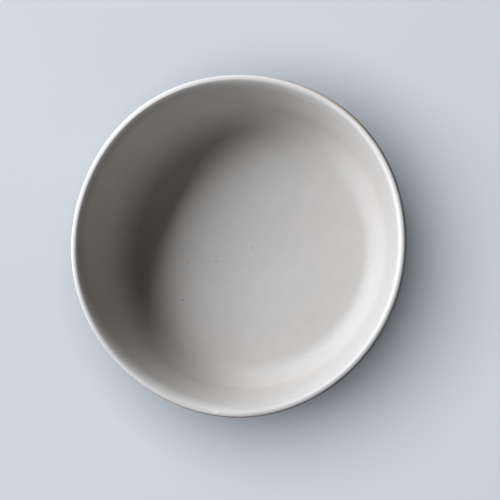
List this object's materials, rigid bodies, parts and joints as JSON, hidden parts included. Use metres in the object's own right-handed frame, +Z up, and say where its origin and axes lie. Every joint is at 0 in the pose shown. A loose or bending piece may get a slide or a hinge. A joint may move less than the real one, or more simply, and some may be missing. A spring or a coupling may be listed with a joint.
{
  "type": "evaporating dish",
  "caption": "Shallow round stoneware dish with a flat floor, steep flared walls and a rolled lip, light glaze inside and dark glaze outside, standing on a foot ring.",
  "frame": {"origin": "centre of the foot ring's bearing face, on the plane that the dish stands on", "axes": "+Z up along the dish's axis of revolution, out of the opening; +X and +Y are two equal directions across the dish"},
  "size_m": [0.21, 0.21, 0.062],
  "materials": {
    "stoneware": "bare fired clay, dry and fine grained",
    "light_glaze": "light grey satin glaze with a few iron specks",
    "dark_glaze": "dark matt glaze"
  },
  "bodies": {
    "root": {"body": "stoneware", "inner_glaze": "light_glaze", "outer_glaze": "dark_glaze"}
  },
  "joints": []
}
